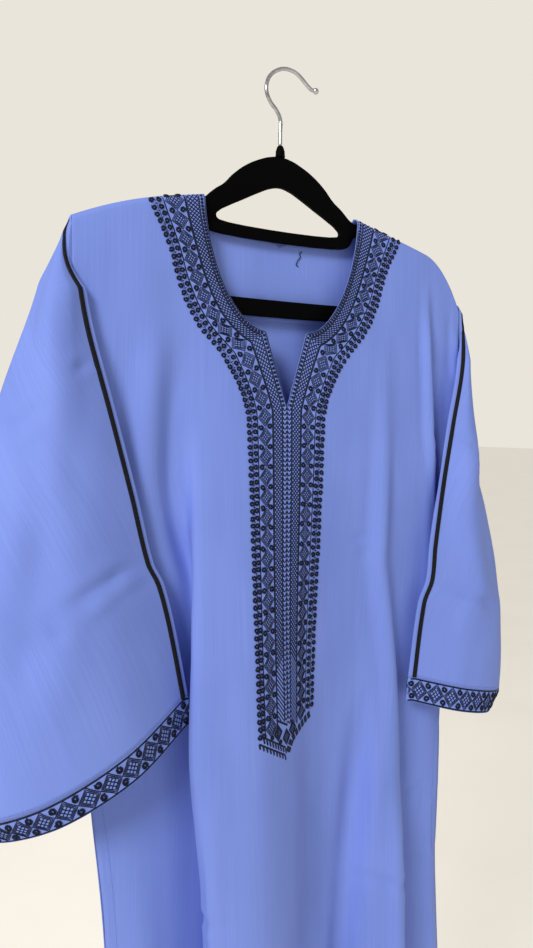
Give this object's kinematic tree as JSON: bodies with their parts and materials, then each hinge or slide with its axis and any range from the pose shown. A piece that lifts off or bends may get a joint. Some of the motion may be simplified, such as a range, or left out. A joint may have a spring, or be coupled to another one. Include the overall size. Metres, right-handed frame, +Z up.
{
  "type": "thobe on a hanger",
  "caption": "Wide-sleeved thobe with a notched neck, long embroidered placket and piped sleeves, hung on a slim hanger.",
  "frame": {"origin": "inner top of the hanger's hook, where a rail or a peg carries it", "axes": "+Z up, +X to the right as seen from the front, -Y out of the front"},
  "size_m": [0.5581, 0.1147, 1.5337],
  "materials": {
    "cloth": "fine twill with a soft sheen",
    "embroidery": "raised stitching in dark thread over the cloth",
    "piping": "narrow braided cord",
    "velvet": "short flock over plastic",
    "steel": "polished wire"
  },
  "bodies": {
    "root": {"front": "cloth", "back": "cloth", "back_neck_facing": "cloth", "neck_embroidery_left": "embroidery", "neck_embroidery_right": "embroidery", "placket_embroidery": "embroidery", "sleeve_left": "cloth", "sleeve_right": "cloth", "cuff_left": "embroidery", "cuff_right": "embroidery", "piping_left": "piping", "piping_right": "piping", "hanger_frame": "velvet", "hanger_ferrule": "velvet", "hanger_hook": "steel"}
  },
  "joints": []
}
